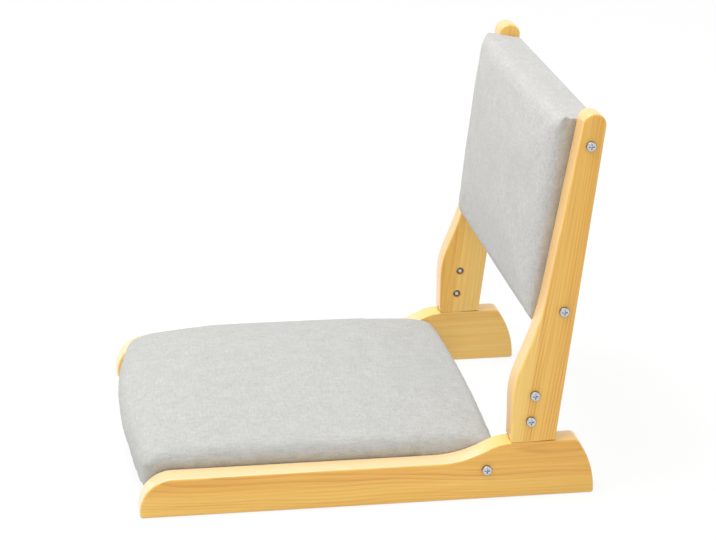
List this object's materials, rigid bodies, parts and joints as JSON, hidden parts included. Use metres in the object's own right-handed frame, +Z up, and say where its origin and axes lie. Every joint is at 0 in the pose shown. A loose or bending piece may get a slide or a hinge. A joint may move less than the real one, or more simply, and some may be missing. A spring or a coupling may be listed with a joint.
{
  "type": "folding floor chair",
  "caption": "Low legless chair with wooden side frames, a padded seat near the floor and a padded back that folds forward onto it.",
  "frame": {"origin": "on the floor, under the middle of the whole chair's box with the back raised", "axes": "+X to the sitter's left, +Y from the seat's front towards the back, +Z up"},
  "size_m": [0.4468, 0.4926, 0.4181],
  "materials": {
    "pine": "clear satin lacquer on honey-coloured pine",
    "frame_wood": "planed and unfinished",
    "plywood": "sanded, unfinished",
    "zinc_steel": "bright zinc plate",
    "cover_cloth": "plain weave, matt",
    "backing_cloth": "thin non-woven cloth",
    "foam": "open-cell foam"
  },
  "bodies": {
    "base": {"runner_left": "pine", "runner_right": "pine", "hinge_bracket_left": "zinc_steel", "hinge_bracket_right": "zinc_steel", "hinge_pin_left": "zinc_steel", "hinge_pin_right": "zinc_steel", "bracket_screws": "zinc_steel", "seat_side_rail_left": "frame_wood", "seat_side_rail_right": "frame_wood", "seat_front_rail": "frame_wood", "seat_rear_rail": "frame_wood", "seat_frame_dowels": "frame_wood", "seat_deck": "plywood", "seat_foam": "foam", "seat_cover": "cover_cloth", "seat_dust_cover": "backing_cloth", "seat_bolts": "zinc_steel", "seat_bolt_inserts": "zinc_steel", "seat_front_dowels": "frame_wood"},
    "back": {"upright_left": "pine", "upright_right": "pine", "hinge_strap_left": "zinc_steel", "hinge_strap_right": "zinc_steel", "hinge_bolts": "zinc_steel", "hinge_sleeve_nuts": "zinc_steel", "back_side_rail_left": "frame_wood", "back_side_rail_right": "frame_wood", "back_top_rail": "frame_wood", "back_bottom_rail": "frame_wood", "back_frame_dowels": "frame_wood", "back_deck": "plywood", "back_foam": "foam", "back_cover": "cover_cloth", "back_rear_cloth": "cover_cloth", "back_bolts": "zinc_steel", "back_bolt_inserts": "zinc_steel"}
  },
  "joints": [
    {"name": "back_fold", "type": "hinge", "parent": "base", "child": "back", "pos_m": [0, 0.15765, 0.06555], "axis": [1, 0, 0], "range_deg": [0, 90]}
  ]
}
